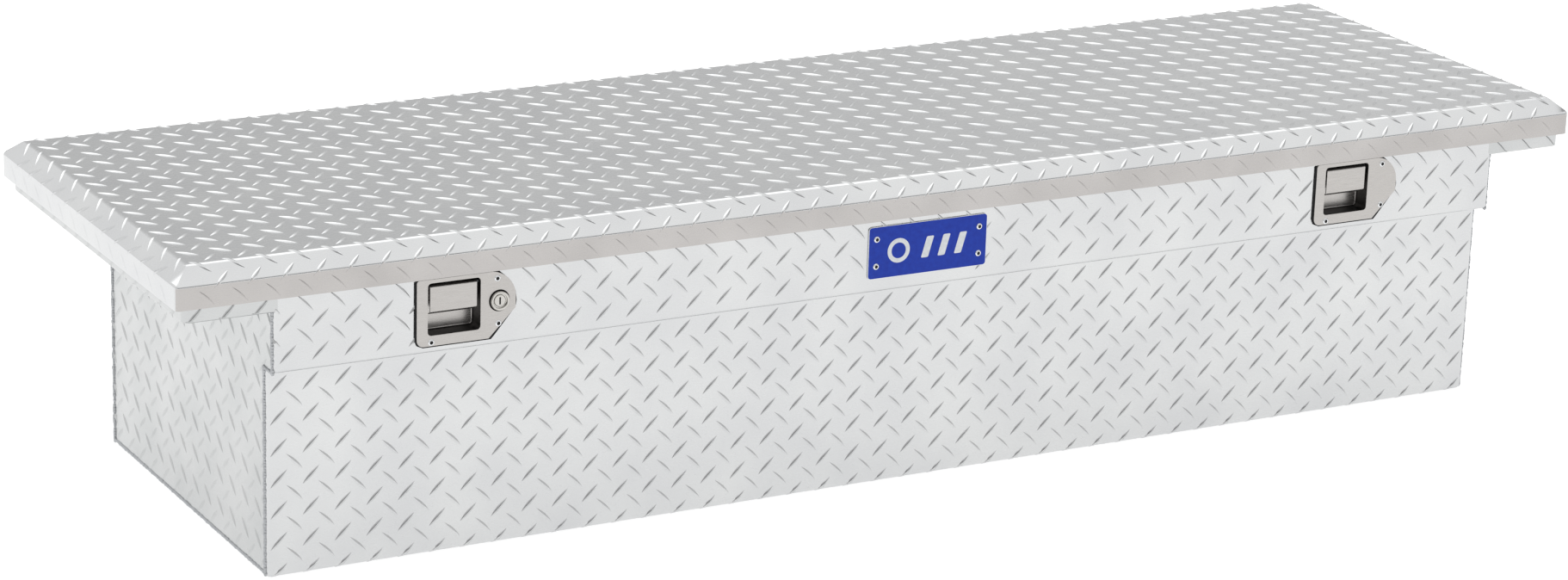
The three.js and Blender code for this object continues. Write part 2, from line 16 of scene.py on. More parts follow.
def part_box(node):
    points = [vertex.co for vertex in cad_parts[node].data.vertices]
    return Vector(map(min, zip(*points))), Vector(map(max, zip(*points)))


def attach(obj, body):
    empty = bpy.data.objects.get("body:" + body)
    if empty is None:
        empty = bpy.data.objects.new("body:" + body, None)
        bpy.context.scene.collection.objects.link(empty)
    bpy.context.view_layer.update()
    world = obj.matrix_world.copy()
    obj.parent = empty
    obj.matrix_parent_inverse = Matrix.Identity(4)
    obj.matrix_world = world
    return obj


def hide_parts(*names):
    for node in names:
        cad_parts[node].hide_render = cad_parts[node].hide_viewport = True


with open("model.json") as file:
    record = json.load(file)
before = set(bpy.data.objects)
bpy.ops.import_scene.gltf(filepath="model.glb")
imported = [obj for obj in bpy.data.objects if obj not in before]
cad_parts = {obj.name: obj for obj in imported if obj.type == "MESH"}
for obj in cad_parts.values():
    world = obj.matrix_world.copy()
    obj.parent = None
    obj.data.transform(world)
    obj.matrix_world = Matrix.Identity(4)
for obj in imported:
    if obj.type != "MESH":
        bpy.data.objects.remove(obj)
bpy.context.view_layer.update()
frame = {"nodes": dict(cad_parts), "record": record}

# %% [markdown]
# Blender counts in metres and a sheet-metal shop in millimetres, so sizes are written in millimetres
# times MM. Modelling by hand is: add a primitive, go into edit mode, select some faces or edges, and
# extrude, bevel or scale them. These helpers do the selecting, because a script has no mouse.

# %% Units and modelling helpers
MM = 0.001
SHEET = 2 * MM
THROUGH = 5 * MM  # how far a cutter stands out on each side of the sheet that it cuts


def alone(obj):
    bpy.ops.object.select_all(action="DESELECT")
    obj.select_set(True)
    bpy.context.view_layer.objects.active = obj


def settle(obj):
    """Puts the object's place, turn and size into its mesh."""
    alone(obj)
    bpy.ops.object.transform_apply(location=True, rotation=True, scale=True)
    return obj


def named(name):
    obj = bpy.context.object
    obj.name = name
    obj.data.name = name
    return settle(obj)


def block(name, low, high):
    low, high = Vector(low), Vector(high)
    bpy.ops.mesh.primitive_cube_add(size=1, location=(low + high) / 2, scale=high - low)
    return named(name)


def edit(obj):
    alone(obj)
    bpy.ops.object.mode_set(mode="EDIT")


def leave():
    bpy.ops.object.mode_set(mode="OBJECT")


def pick(obj, kind, test):
    """In edit mode, selects the faces or edges that pass the test."""
    bpy.ops.mesh.select_mode(type=kind)
    bpy.ops.mesh.select_all(action="DESELECT")
    mesh = bmesh.from_edit_mesh(obj.data)
    parts = mesh.faces if kind == "FACE" else mesh.edges
    for part in [part for part in parts if test(part)]:
        part.select_set(True)
    bmesh.update_edit_mesh(obj.data)


def draw_out(*step):
    """Extrudes whatever is selected by a step along x, y and z."""
    bpy.ops.mesh.extrude_region_move(TRANSFORM_OT_translate={"value": step})


def drop_faces(obj, test):
    pick(obj, "FACE", test)
    bpy.ops.mesh.delete(type="FACE")


def round_edges(obj, width, segments, test, profile=0.5):
    pick(obj, "EDGE", test)
    bpy.ops.mesh.bevel(offset=width, segments=segments, profile=profile)


def facing(axis, sign=1):
    return lambda face: face.normal[axis] * sign > 0.99


def runs_along(axis, *others):
    """Edges parallel to an axis, where every other test passes too."""

    def test(edge):
        step = (edge.verts[0].co - edge.verts[1].co).normalized()
        return abs(step[axis]) > 0.99 and all(other(edge) for other in others)

    return test


def at(axis, value, slack=0.2 * MM):
    """Edges that lie in a plane across an axis."""
    return lambda edge: all(abs(v.co[axis] - value) < slack for v in edge.verts)


def modify(obj, kind, **settings):
    """Adds a modifier and applies it at once."""
    alone(obj)
    modifier = obj.modifiers.new(kind.title(), kind)
    for key, value in settings.items():
        setattr(modifier, key, value)
    bpy.ops.object.modifier_apply(modifier=modifier.name)
    return obj


def wall(obj, thickness=SHEET):
    """Turns an outside skin into sheet of that thickness, with the metal inside the skin."""
    return modify(obj, "SOLIDIFY", thickness=thickness, offset=-1, use_even_offset=True)


def soften(obj, width, segments=2, angle=40):
    """Rounds every sharp edge by that width."""
    return modify(
        obj, "BEVEL", width=width, segments=segments, limit_method="ANGLE", angle_limit=math.radians(angle)
    )


def joined(name, pieces):
    bpy.ops.object.select_all(action="DESELECT")
    for piece in pieces:
        piece.select_set(True)
    bpy.context.view_layer.objects.active = pieces[0]
    if len(pieces) > 1:
        bpy.ops.object.join()
    return named(name)


def outward(obj):
    edit(obj)
    bpy.ops.mesh.select_all(action="SELECT")
    bpy.ops.mesh.normals_make_consistent(inside=False)
    leave()
    return obj


def smooth(obj, angle=32):
    """Shades bends as round. Weighted normals keep the wide flats beside them flat."""
    alone(obj)
    bpy.ops.object.shade_smooth_by_angle(angle=math.radians(angle))
    return modify(obj, "WEIGHTED_NORMAL", keep_sharp=True, weight=80)


def carve(obj, cutter):
    """Cuts one piece out of another and throws the cutter away."""
    modify(obj, "BOOLEAN", operation="DIFFERENCE", object=cutter, solver="EXACT")
    bpy.data.objects.remove(cutter)
    return obj


# %% [markdown]
# Round things such as rivets and lock parts are turned on a lathe. A ring of points is drawn out along
# the turning axis in steps and scaled at each step, which leaves its profile.

# %% Lathe helper
def turned(name, x, z, profile, sides=32, hollow=False):
    """Turns a profile of (radius, y) pairs about a line along Y through x, z."""
    radius, y = profile[0]
    fill = "NOTHING" if hollow else "NGON"
    bpy.ops.mesh.primitive_circle_add(
        vertices=sides, radius=radius, location=(x, y, z), rotation=(math.pi / 2, 0, 0), fill_type=fill
    )
    piece = named(name)
    edit(piece)
    bpy.ops.mesh.select_mode(type="VERT")
    bpy.ops.mesh.select_all(action="SELECT")
    for (r0, y0), (r1, y1) in zip(profile, profile[1:]):
        draw_out(0, y1 - y0, 0)
        bpy.ops.transform.resize(value=(r1 / r0, 1, r1 / r0), center_override=(x, y1, z))
    if hollow:
        pick(piece, "EDGE", lambda edge: edge.is_boundary)
        bpy.ops.mesh.bridge_edge_loops()
    leave()
    return outward(piece)


# %% [markdown]
# Every finish below is a small node tree. One function turns a hex colour, as a paint chart gives it,
# into the linear numbers that the shader wants, and one adds a node with its settings and links.

# %% Material helpers
def colour(code):
    def linear(channel):
        c = int(code[channel : channel + 2], 16) / 255
        return c / 12.92 if c <= 0.04045 else ((c + 0.055) / 1.055) ** 2.4

    return (linear(1), linear(3), linear(5), 1)


def add_node(tree, kind, inputs, **settings):
    node = tree.nodes.new(kind)
    for key, value in settings.items():
        setattr(node, key, value)
    for name, value in inputs.items():
        if isinstance(value, bpy.types.NodeSocket):
            tree.links.new(value, node.inputs[name])
        else:
            node.inputs[name].default_value = value
    return node


def new_finish(name, **shader):
    """A material with its main shader's own values set; returns it with its tree and shader."""
    material = bpy.data.materials.new(name)
    material.use_nodes = True
    tree = material.node_tree
    principled = tree.nodes["Principled BSDF"]
    for key, value in shader.items():
        principled.inputs[key.replace("_", " ")].default_value = value
    return material, tree, principled


def grain(tree, scale, stretch=(1, 1, 1), detail=3, roughness=0.5):
    """Noise whose grains are 1/scale metres across, drawn out by stretch."""
    place = add_node(tree, "ShaderNodeTexCoord", {})
    mapping = add_node(tree, "ShaderNodeMapping", {"Vector": place.outputs["Object"], "Scale": stretch})
    inputs = {"Vector": mapping.outputs[0], "Scale": scale, "Detail": detail, "Roughness": roughness}
    return add_node(tree, "ShaderNodeTexNoise", inputs).outputs["Fac"]


def spread(tree, value, low, high):
    """Maps noise, which keeps to the middle of its range, on to low..high."""
    inputs = {"Value": value, "From Min": 0.3, "From Max": 0.7, "To Min": low, "To Max": high}
    return add_node(tree, "ShaderNodeMapRange", inputs).outputs[0]


def two_tone(tree, value, first, second):
    """A colour between two, by a value from 0 to 1."""
    mix = add_node(tree, "ShaderNodeMix", {"Factor": value}, data_type="RGBA")
    mix.inputs[6].default_value = colour(first)
    mix.inputs[7].default_value = colour(second)
    return mix.outputs[2]


def bumped(tree, principled, height, distance, strength=1.0):
    inputs = {"Height": height, "Distance": distance, "Strength": strength}
    bump = add_node(tree, "ShaderNodeBump", inputs)
    tree.links.new(bump.outputs[0], principled.inputs["Normal"])


# %% [markdown]
# Tread plate is aluminium rolled between a smooth roll and an engraved one. It comes off bright, with
# a faint cloudiness as wide as a hand and a very fine grain along the sheet. The grain is really a
# tenth of a millimetre wide; it is drawn 0.8 mm wide so that it still shows. The lid's long skirts get
# a greyer and warmer copy of this finish, which is painted shade. The ends and the wings are separate
# sheets, and their copy is a little darker, which is painted shade too.

# %% Tread-plate finish
def tread_plate_finish(name, dark, light):
    material, tree, principled = new_finish(name, Metallic=1.0)
    cloud = grain(tree, 1 / (90 * MM), detail=2)
    rolled = grain(tree, 1 / (0.8 * MM), stretch=(0.06, 1, 1), detail=2)
    tint = two_tone(tree, spread(tree, cloud, 0, 1), dark, light)
    tree.links.new(tint, principled.inputs["Base Color"])
    rough = spread(tree, rolled, 0.23, 0.28)
    tree.links.new(rough, principled.inputs["Roughness"])
    bumped(tree, principled, rolled, 0.03 * MM, 0.12)
    return material


tread_plate = tread_plate_finish("bright_tread_plate", "#CDCECF", "#D4D5D5")
# Painted shade: a greyer, warmer copy of the tread plate for the lid's long skirts.
skirt_shade_plate = tread_plate_finish("skirt_painted_shade_plate", "#B3B0AE", "#BEBBB9")
# Painted shade: a darker copy of the tread plate for the ends and the wings.
end_plate = tread_plate_finish("end_and_wing_painted_shade_plate", "#BDBFBF", "#C9CACA")

# %% [markdown]
# The other metals differ in how they were worked. The inside of the lid is plain mill sheet. The
# latches are brushed stainless, so their grain is drawn out along the box, and the walls of their cups
# are coloured dark as painted shade. Small steel parts are zinc plated, which is greyer and mottled like
# frost. A weld bead is duller and rougher than the plate.

# %% Other metals
def mottled(name, dark, light, grain_mm, rough, bump_mm, stretch=(1, 1, 1), depth=0.6, **shader):
    """One noise drives the tint between dark and light, the roughness and the bumps."""
    material, tree, principled = new_finish(name, **shader)
    pattern = grain(tree, 1 / (grain_mm * MM), stretch=stretch)
    tint = two_tone(tree, spread(tree, pattern, 0, 1), dark, light)
    tree.links.new(tint, principled.inputs["Base Color"])
    tree.links.new(spread(tree, pattern, *rough), principled.inputs["Roughness"])
    bumped(tree, principled, pattern, bump_mm * MM, depth)
    return material


def worked_metal(name, dark, light, grain_mm, stretch, rough, bump_mm):
    return mottled(name, dark, light, grain_mm, rough, bump_mm, stretch, 0.5, Metallic=1.0)


mill_sheet = worked_metal("mill_finish_sheet", "#C2C4C6", "#CFD0D2", 1.0, (0.05, 1, 1), (0.38, 0.48), 0.02)
brushed_stainless = worked_metal(
    "brushed_stainless", "#B2AFAC", "#C0BDBA", 0.5, (0.03, 1, 1), (0.24, 0.34), 0.02
)
nickel_plate = worked_metal("nickel_plated_brass", "#BDBBB6", "#CCCAC5", 1.0, (1, 1, 1), (0.16, 0.24), 0.01)
bright_aluminium = worked_metal(
    "bright_rivet_aluminium", "#DADCDE", "#E8E9EA", 1.0, (1, 1, 1), (0.2, 0.3), 0.01
)
zinc_plate = worked_metal("zinc_plated_steel", "#A8ABAE", "#C0C2C4", 3.0, (1, 1, 1), (0.3, 0.42), 0.02)
weld_bead = worked_metal("weld_bead", "#9A9C9F", "#BFC1C3", 1.5, (1, 1, 1), (0.3, 0.5), 0.05)
# Painted shade: the latch cups' walls are coloured dark for the shade inside the deep cups.
cup_painted_shade = worked_metal("painted_shade_on_cups", "#3C3A39", "#4C4A48", 0.8, (1, 1, 0.1), (0.4, 0.5), 0.02)
brass_key = worked_metal("lock_brass", "#B4A27C", "#C8B78F", 1.0, (1, 1, 1), (0.25, 0.35), 0.01)

# %% [markdown]
# The rest are not bare metal: the seal and gaskets are black foam rubber, which is matt and slightly
# pitted; the strut cylinders are black paint; the badge is satin blue enamel with a white device; the
# lid's core is pale rigid foam. The pin ends in the rivets' holes are nearly black: painted shade.

# %% Rubber, paint, enamel and foam
foam_rubber = mottled("black_foam_rubber", "#0C0C0D", "#1B1B1D", 0.8, (0.75, 0.95), 0.1)
black_paint = mottled("strut_black_paint", "#131416", "#1D1E20", 2.0, (0.3, 0.42), 0.02)
rigid_foam = mottled("rigid_foam", "#DCD0A6", "#EFE6C4", 1.2, (0.85, 1.0), 0.3)
blue_enamel = mottled(
    "royal_blue_enamel", "#10309B", "#163AA8", 6.0, (0.35, 0.45), 0.01, Specular_IOR_Level=0.25
)
white_enamel = mottled("white_enamel", "#CDD1D4", "#DCDFE2", 4.0, (0.3, 0.4), 0.01)
# Painted shade: the nearly black colour of the rivets' holes, put on the pin ends.
rivet_hole_painted_shade = mottled("rivet_hole_painted_shade", "#050505", "#0C0C0C", 2.0, (0.7, 0.9), 0.01)

# %% [markdown]
# The camera stands at the box's left front and a little above it, with a long lens, so the far end
# shrinks only slightly.

# %% Camera
CAMERA_PLACE = Vector((-2367.1, -4235.0, 1694.0)) * MM
HEADING, TILT, ROLL = (math.radians(a) for a in (28.87, 17.67, 1.80))
bpy.ops.object.camera_add()
camera = bpy.context.object
camera.data.sensor_width = 36
camera.data.lens = 100.9
turn = Matrix.Rotation(-HEADING, 4, "Z") @ Matrix.Rotation(math.pi / 2 - TILT, 4, "X")
camera.matrix_world = Matrix.Translation(CAMERA_PLACE) @ turn @ Matrix.Rotation(ROLL, 4, "Z")
camera.data.clip_end = 100
bpy.context.scene.camera = camera

# %% [markdown]
# Bare metal shows mostly what it reflects, so the studio is built round that: a glowing white table
# that the upright sheets mirror, a grey wall behind for the flat lid, a white screen at the left back
# for the lid's left bevel, a darker room on the camera's side that draws the lugs on the front, and a
# bright ceiling with a long soft lamp that whitens the lugs on the lid.

# %% Floor, sky and lamp
def make_studio():
    bpy.ops.mesh.primitive_plane_add(size=60, location=(0, 0, -1.5 * MM))
    floor = named("studio_floor")
    table, tree, principled = new_finish("white_light_table", Roughness=0.9, Emission_Strength=FLOOR_GLOW)
    principled.inputs["Emission Color"].default_value = colour("#FFFFFF")
    cloud = grain(tree, 1 / (400 * MM), detail=1)
    tree.links.new(two_tone(tree, cloud, "#9A9A9A", "#A4A4A4"), principled.inputs["Base Color"])
    floor.data.materials.append(table)


def graded(tree, value, stops):
    """A grey that follows stops of (position, level), for a value from -1 to 1."""
    span = add_node(tree, "ShaderNodeMapRange", {"Value": value, "From Min": -1.0})
    ramp = add_node(tree, "ShaderNodeValToRGB", {0: span.outputs[0]})
    elements = ramp.color_ramp.elements
    while len(elements) < len(stops):
        elements.new(0.5)
    for element, (position, level) in zip(elements, stops):
        element.position = (position + 1) / 2
        element.color = (level, level, level, 1)
    return ramp.outputs["Color"]


def make_sky():
    """Walls, which are darkest on the camera's side, with the screen and the ceiling laid over them."""
    world = bpy.data.worlds.new("studio")
    bpy.context.scene.world = world
    world.use_nodes = True
    tree = world.node_tree
    place = add_node(tree, "ShaderNodeTexCoord", {})
    split = add_node(tree, "ShaderNodeSeparateXYZ", {0: place.outputs["Generated"]})
    walls = graded(tree, split.outputs["Y"], WALLS)
    towards = add_node(
        tree, "ShaderNodeVectorMath", {0: place.outputs["Generated"], 1: TO_SCREEN}, operation="DOT_PRODUCT"
    )
    screen = graded(tree, towards.outputs["Value"], SCREEN_STARTS)
    lit = add_node(tree, "ShaderNodeMix", {"Factor": screen}, data_type="RGBA")
    tree.links.new(walls, lit.inputs[6])
    lit.inputs[7].default_value = (SCREEN, SCREEN, SCREEN, 1)
    ceiling = graded(tree, split.outputs["Z"], CEILING_STARTS)
    mix = add_node(tree, "ShaderNodeMix", {"Factor": ceiling}, data_type="RGBA")
    tree.links.new(lit.outputs[2], mix.inputs[6])
    mix.inputs[7].default_value = (CEILING, CEILING, CEILING, 1)
    tree.links.new(mix.outputs[2], tree.nodes["Background"].inputs["Color"])


def lamp(name, place, aim, width, height, radiance):
    """A soft rectangular lamp of a given brightness, whatever its size."""
    data = bpy.data.lights.new(name, "AREA")
    data.shape = "RECTANGLE"
    data.size, data.size_y = width, height
    data.energy = radiance * math.pi * width * height
    light = bpy.data.objects.new(name, data)
    bpy.context.scene.collection.objects.link(light)
    light.location = place
    light.rotation_euler = (Vector(aim) - Vector(place)).to_track_quat("-Z", "Y").to_euler()


FLOOR_GLOW = 0.82
WALLS = [  # how far to the back a direction points, and how bright it is there
    (-1.0, 0.27), (-0.85, 0.34), (-0.55, 0.74), (-0.1, 0.60),
    (0.5, 0.66), (0.74, 0.74), (0.9, 0.58), (1.0, 0.56),
]
CEILING, CEILING_STARTS = 1.12, [(-1.0, 0), (0.4, 0), (0.6, 0.9), (0.7, 1)]
SCREEN, SCREEN_STARTS = 0.98, [(-1.0, 0), (0.58, 0), (0.74, 1), (1.0, 1)]
TO_SCREEN = (-0.707, 0.707, 0)
make_studio()
make_sky()
lamp("overhead", place=(0.2, 1.2, 2.7), aim=(0, 0.1, 0.2), width=5.0, height=1.6, radiance=0.75)
bpy.context.scene.view_settings.view_transform = "Standard"

# %% [markdown]
# A tread lug is a long thin lens. It is modelled once: half a spindle is drawn out from a ring of
# eight points in three shrinking steps, mirrored, and cut flat just under the sheet's surface. Every
# raised lug on the box is a copy of it.

# %% One lug
def taken(obj):
    """An object's points and faces. The object itself is thrown away."""
    points = np.array([v.co for v in obj.data.vertices])
    faces = [tuple(p.vertices) for p in obj.data.polygons]
    bpy.data.objects.remove(obj)
    return points, faces


LUG_LENGTH, LUG_WIDTH, LUG_HEIGHT = 27 * MM, 4.4 * MM, 1.3 * MM
LUG_SINK = 0.12 * MM


def make_lug():
    bpy.ops.mesh.primitive_circle_add(vertices=8, radius=1, rotation=(0, math.pi / 2, 0))
    lug = named("tread_lug")
    edit(lug)
    for side in (1, -1):  # moves the ring's upper side points in, so that its flanks slope at 35 degrees
        mesh = bmesh.from_edit_mesh(lug.data)
        bpy.ops.mesh.select_mode(type="VERT")
        bpy.ops.mesh.select_all(action="DESELECT")
        for vertex in mesh.verts:
            vertex.select_set(vertex.co.y * side > 0.1 and abs(vertex.co.z - 0.707) < 0.01)
        bpy.ops.transform.translate(value=(0, -side * 0.26, 0.04))
    bpy.ops.mesh.select_all(action="SELECT")
    for step, taper in ((0.4, 0.85), (0.35, 0.55), (0.25, 0.0)):
        draw_out(step, 0, 0)
        if taper:
            bpy.ops.transform.resize(value=(1, taper, taper))
    bpy.ops.mesh.merge(type="CENTER")
    leave()
    modify(lug, "MIRROR", use_axis=(True, False, False), use_clip=True)
    edit(lug)
    bpy.ops.mesh.select_all(action="SELECT")
    sink = -LUG_SINK / LUG_HEIGHT
    bpy.ops.mesh.bisect(plane_co=(0, 0, sink), plane_no=(0, 0, 1), clear_inner=True, use_fill=True)
    leave()
    lug.scale = (LUG_LENGTH / 2, LUG_WIDTH / 2, LUG_HEIGHT)
    return outward(settle(lug))


lug_points, lug_faces = taken(make_lug())
print("lug:", len(lug_points), "points,", len(lug_faces), "faces")

# %% [markdown]
# The sheet is patterned while flat and bent afterwards, so a lug that lies on a bend is bent with it.
# BentLine gives, for a distance along the flat sheet, where that point ends up on the bent section
# and which way is out. lay_lugs sets out the pattern on the flat sheet, trims it at the sheet's edges
# and sends every point through the bend.

# %% Bends and the lug pattern
SQUARE_PITCH = (35.9, 35.9)
LUG_DIRECTIONS = ((math.pi / 4, (0, 0)), (-math.pi / 4, (0.52, 0.5)))  # turn, and shift in pitches


class BentLine:
    """A section line whose corners are arcs. Distances are measured along the bent line."""

    def __init__(self, corners, radii, side=1):
        corners = [np.array(c, float) for c in corners]
        places, normals = [], []

        def put(point, direction):
            places.append(point)
            normals.append(side * np.array([-direction[1], direction[0]]))

        for i, corner in enumerate(corners):
            before = corner - corners[i - 1] if i else corners[1] - corner
            after = corners[i + 1] - corner if i + 1 < len(corners) else before
            before, after = before / np.hypot(*before), after / np.hypot(*after)
            turn = math.atan2(before[0] * after[1] - before[1] * after[0], before @ after)
            if abs(turn) < 1e-6:
                put(corner, before)
                continue
            radius = radii[i]
            reach = radius * math.tan(abs(turn) / 2)
            start = corner - before * reach
            centre = start + np.sign(turn) * radius * np.array([-before[1], before[0]])
            for step in np.linspace(0, turn, 9):
                c, s = math.cos(step), math.sin(step)
                rotate = np.array([[c, -s], [s, c]])
                put(centre + rotate @ (start - centre), rotate @ before)
        self.places, self.normals = np.array(places), np.array(normals)
        steps = np.hypot(*np.diff(self.places, axis=0).T)
        self.distance = np.concatenate([[0], np.cumsum(steps)])
        self.length = self.distance[-1]

    def at(self, distance):
        """Places and outward directions, each as two columns."""
        place = [np.interp(distance, self.distance, self.places[:, k]) for k in (0, 1)]
        normal = [np.interp(distance, self.distance, self.normals[:, k]) for k in (0, 1)]
        return np.stack(place, -1), np.stack(normal, -1)


def copies(name, points, faces, count):
    """One object out of many copies of a small mesh, which has these faces and so many points."""
    starts = range(0, len(points), count)
    faces = [tuple(start + i for i in face) for start in starts for face in faces]
    mesh = bpy.data.meshes.new(name)
    mesh.from_pydata(points.tolist(), [], faces)
    obj = bpy.data.objects.new(name, mesh)
    bpy.context.scene.collection.objects.link(obj)
    print(name, len(starts), "copies")
    return obj


def lay_lugs(name, columns, rows, bend, inside, pitch=SQUARE_PITCH, start=(0, 0)):
    """Lugs over columns and rows of the flat sheet, each a range in metres. bend takes flat
    coordinates and heights to points in space; inside says where a lug may start. pitch is from one lug
    to the next that points the same way, and start is where one of them lies, both in millimetres."""
    pitch, start = np.array(pitch) * MM, np.array(start) * MM
    counts = []
    for (low, high), step in zip((columns, rows), pitch):
        counts.append(np.arange(math.floor(low / step) - 1, math.ceil(high / step) + 2))
    across, up = np.meshgrid(*counts)
    grid = np.stack([across.ravel(), up.ravel()], -1) * pitch + start
    points = []
    for turn, shift in LUG_DIRECTIONS:
        c, s = math.cos(turn), math.sin(turn)
        flat = lug_points[:, :2] @ np.array([[c, s], [-s, c]])
        centres = grid + np.array(shift) * pitch
        centres = centres[inside(centres[:, 0], centres[:, 1])]
        for centre in centres:
            points.append(np.column_stack([flat + centre, lug_points[:, 2]]))
    cloud = np.concatenate(points)
    placed = bend(cloud[:, 0], cloud[:, 1], cloud[:, 2])
    return copies(name, placed, lug_faces, len(lug_points))


def dress(obj, body, material, slot, *nodes):
    """Gives a finished piece its material, its body and the working pieces that it stands for."""
    obj.data.materials.clear()
    obj.data.materials.append(material)
    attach(obj, body)
    if nodes:
        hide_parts(*nodes)
    return obj


def refinish(obj, material, test):
    """Gives the faces that pass the test a second finish."""
    obj.data.materials.append(material)
    edit(obj)
    pick(obj, "FACE", test)
    obj.active_material_index = 1
    bpy.ops.object.material_slot_assign()
    leave()


# %% [markdown]
# The lid is one sheet: a flat top, a bevel at about 45 degrees all round, and a skirt that hangs over
# the body. It starts as a block the size of the skirt. The top face is drawn up and scaled in to make
# the bevel, the skirt's upright corners are rounded, the ridge and the shoulder get small bend radii,
# and the open shell is thickened into sheet.

# %% Lid skin
lid_low, lid_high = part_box("lid_skin")
BEVEL_OUT, BEVEL_DROP = 19 * MM, 17 * MM
LID_SLOPE = math.atan2(BEVEL_DROP, BEVEL_OUT)
RIDGE_REACH, SHOULDER_REACH = 2.6 * MM, 1.25 * MM  # how far each bend runs on to the flats beside it
RIDGE_BEND = RIDGE_REACH / math.tan(LID_SLOPE / 2)
LID_BEND = SHOULDER_REACH / math.tan(math.pi / 4 - LID_SLOPE / 2)
SKIRT_CORNER = 5 * MM
CORNER_SUPPORT = 4 * MM
LID_PITCH, LID_START = (35.9, 38.3), (0.3, -0.8)
shoulder = lid_high.z - BEVEL_DROP
flat_x, flat_y = lid_high.x - BEVEL_OUT, lid_high.y - BEVEL_OUT


def make_lid_skin():
    lid = block("lid_tread", lid_low, (lid_high.x, lid_high.y, shoulder))
    edit(lid)
    pick(lid, "FACE", facing(2))
    draw_out(0, 0, BEVEL_DROP)
    bpy.ops.transform.resize(value=(flat_x / lid_high.x, flat_y / lid_high.y, 1))
    round_edges(lid, SKIRT_CORNER, 3, runs_along(2))
    round_edges(lid, RIDGE_REACH, 4, at(2, lid_high.z))
    round_edges(lid, SHOULDER_REACH, 3, lambda e: at(2, shoulder)(e) and not e.is_boundary)
    for x, y in ((flat_x, 0), (-flat_x, 0), (0, flat_y), (0, -flat_y)):  # keeps the corners' shading local
        line = Vector((x, y, 0)) * (1 - CORNER_SUPPORT / max(abs(x), abs(y)))
        bpy.ops.mesh.select_all(action="SELECT")
        bpy.ops.mesh.bisect(plane_co=line, plane_no=line.normalized())
    drop_faces(lid, facing(2, -1))
    leave()
    return wall(lid)


FLAP_START = 60 * MM  # the section begins this far inside the ridge
lid_section = BentLine(
    [(-FLAP_START, lid_high.z), (0, lid_high.z), (BEVEL_OUT, shoulder), (BEVEL_OUT, lid_low.z)],
    [0, RIDGE_BEND, LID_BEND, 0],
)
SKIRT_LUG_HEIGHT = 0.35  # the folding machine's clamp presses the skirt's lugs almost flat


def bend_lid(s, t, h):
    """Flat sheet to lid: the nearer pair of flaps folds down, and lugs stop at the mitred corners."""
    over_x, over_y = np.abs(s) - flat_x, np.abs(t) - flat_y
    on_side = over_x > over_y
    over = np.where(on_side, over_x, over_y)
    place, normal = lid_section.at(np.clip(over + FLAP_START, 0, lid_section.length - 0.5 * MM))
    h = h * np.where(place[:, 1] < shoulder - LID_BEND, SKIRT_LUG_HEIGHT, 1)
    top = over < -FLAP_START
    out = np.where(top, over, place[:, 0]) + h * np.where(top, 0, normal[:, 0])
    z = np.where(top, lid_high.z, place[:, 1]) + h * np.where(top, 1, normal[:, 1])
    corner = np.where(place[:, 0] > BEVEL_OUT - 1 * MM, SKIRT_CORNER, 0)
    limit_x, limit_y = flat_x + place[:, 0] - corner, flat_y + place[:, 0] - corner
    x = np.where(on_side, np.sign(s) * (flat_x + out), np.clip(s, -limit_x, limit_x))
    y = np.where(on_side, np.clip(t, -limit_y, limit_y), np.sign(t) * (flat_y + out))
    return np.stack([x, y, z], -1)


def inside_lid(s, t):
    over_x, over_y = np.abs(s) - flat_x, np.abs(t) - flat_y
    flap = lid_section.length - FLAP_START
    mitred = (over_x > 0) & (over_y > 0)
    return (over_x < flap - 3 * MM) & (over_y < flap - 3 * MM) & ~mitred


reach_x, reach_y = flat_x + lid_section.length, flat_y + lid_section.length
lid_lugs = lay_lugs(
    "lid_lugs", (-reach_x, reach_x), (-reach_y, reach_y), bend_lid, inside_lid, LID_PITCH, LID_START
)
lid_tread = smooth(joined("lid_tread", [make_lid_skin(), lid_lugs]))
dress(lid_tread, "lid", tread_plate, "tread_plate", "lid_skin")
# The long front and back skirts get the darker copy, which is painted shade.
refinish(
    lid_tread,
    skirt_shade_plate,
    lambda face: face.calc_center_median().z < shoulder - SHOULDER_REACH and abs(face.normal.y) > 0.5,
)

# %% [markdown]
# The tub is one long sheet that is bent up from the floor into the front and the back, and its upright
# edges are bent round on to the ends. The end plates are separate flat sheets shaped like a T, welded
# into it. The tub starts as a block that loses its top and its flat ends.

# %% Tub
tub_low, tub_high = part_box("tub_wrap")
_, end_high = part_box("right_end_plate")
TUB_END = end_high.x
UPRIGHT_BEND, FLOOR_BEND = 4.5 * MM, 5 * MM
TUB_PITCH, TUB_START = (35.95, 34.5), (17, 2)


def make_tub():
    tub = block("tub_tread", (-TUB_END, tub_low.y, 0), (TUB_END, tub_high.y, tub_high.z))
    edit(tub)
    drop_faces(tub, facing(2))
    round_edges(tub, UPRIGHT_BEND, 5, runs_along(2))
    round_edges(tub, FLOOR_BEND, 4, at(2, 0))
    drop_faces(tub, facing(0))
    drop_faces(tub, facing(0, -1))
    leave()
    return wall(tub)


tub_section = BentLine(
    [(tub_low.y, tub_high.z), (tub_low.y, 0), (tub_high.y, 0), (tub_high.y, tub_high.z)],
    [FLOOR_BEND] * 4,
    side=-1,
)


def flat_reach(radius):
    """How far the flat sheet runs each way before its end has turned a right angle."""
    return TUB_END - radius + radius * math.pi / 2


def round_the_end(s, end, radius):
    """How far along the box a point at s ends up, how far back round the corner, and how it faces."""
    past = np.maximum(np.abs(s) - (end - radius), 0)
    angle = np.minimum(past / radius, math.pi / 2)
    beyond = np.maximum(past - radius * math.pi / 2, 0)
    x = np.where(past > 0, end - radius + radius * np.sin(angle), np.abs(s))
    back = radius * (1 - np.cos(angle)) + beyond
    return np.sign(s) * x, back, angle


